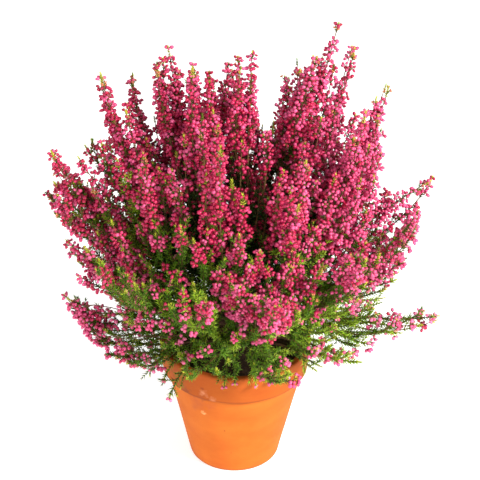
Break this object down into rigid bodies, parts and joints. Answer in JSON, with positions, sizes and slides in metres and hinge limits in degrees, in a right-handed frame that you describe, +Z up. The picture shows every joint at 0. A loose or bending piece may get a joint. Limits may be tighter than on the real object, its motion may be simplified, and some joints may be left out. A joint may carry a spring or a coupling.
{
  "type": "potted cape heath",
  "caption": "Dense upright cape heath shrub with flowering plumes fanning from a short stem in a plain terracotta pot.",
  "frame": {"origin": "centre of the pot's flat underside, under the middle of the whole plant", "axes": "+Z up along the pot's axis, -Y towards the side the picture shows, +X to the right in the picture"},
  "size_m": [0.3472, 0.3077, 0.433],
  "materials": {
    "terracotta": "matte",
    "compost": "matte",
    "bark": "matte",
    "blossom": "matte",
    "greenery": "matte"
  },
  "bodies": {
    "root": {"bough_low_back_left": "bark", "bough_low_front_left": "bark", "bough_low_front_right": "bark", "bough_low_right": "bark", "bough_middle_back_left": "bark", "bough_middle_front": "bark", "bough_middle_left": "bark", "bough_middle_right_back": "bark", "bough_middle_right_front": "bark", "bough_outer_back_left": "bark", "bough_outer_back_right": "bark", "bough_outer_front_left": "bark", "bough_outer_front_middle": "bark", "bough_outer_left": "bark", "bough_outer_right": "bark", "bough_top_back": "bark", "bough_top_centre": "bark", "bough_top_front_left": "bark", "bough_top_left": "bark", "bough_top_right": "bark", "compost": "compost", "plume_middle_back": "blossom", "plume_middle_back_left": "blossom", "plume_middle_front": "blossom", "plume_middle_front_left": "blossom", "plume_middle_front_right": "blossom", "plume_middle_left": "blossom", "plume_middle_left_back": "blossom", "plume_middle_right": "blossom", "plume_middle_right_back": "blossom", "plume_middle_right_front": "blossom", "plume_outer_back_left": "blossom", "plume_outer_back_right": "blossom", "plume_outer_front": "blossom", "plume_outer_front_left": "blossom", "plume_outer_front_middle": "blossom", "plume_outer_front_right": "blossom", "plume_outer_left": "blossom", "plume_outer_left_back": "blossom", "plume_outer_left_front": "blossom", "plume_outer_right": "blossom", "plume_outer_right_back": "blossom", "plume_outer_right_front": "blossom", "plume_top_back": "blossom", "plume_top_centre": "blossom", "plume_top_front_left": "blossom", "plume_top_left": "blossom", "plume_top_right": "blossom", "short_stem": "bark", "spray_low_back_left": "greenery", "spray_low_back_right": "greenery", "spray_low_front": "greenery", "spray_low_front_left": "greenery", "spray_low_front_right": "greenery", "spray_low_left": "greenery", "spray_low_left_back": "greenery", "spray_low_right": "greenery", "spray_low_right_back": "greenery", "spray_low_right_front": "greenery", "terracotta_pot": "terracotta"}
  },
  "joints": []
}
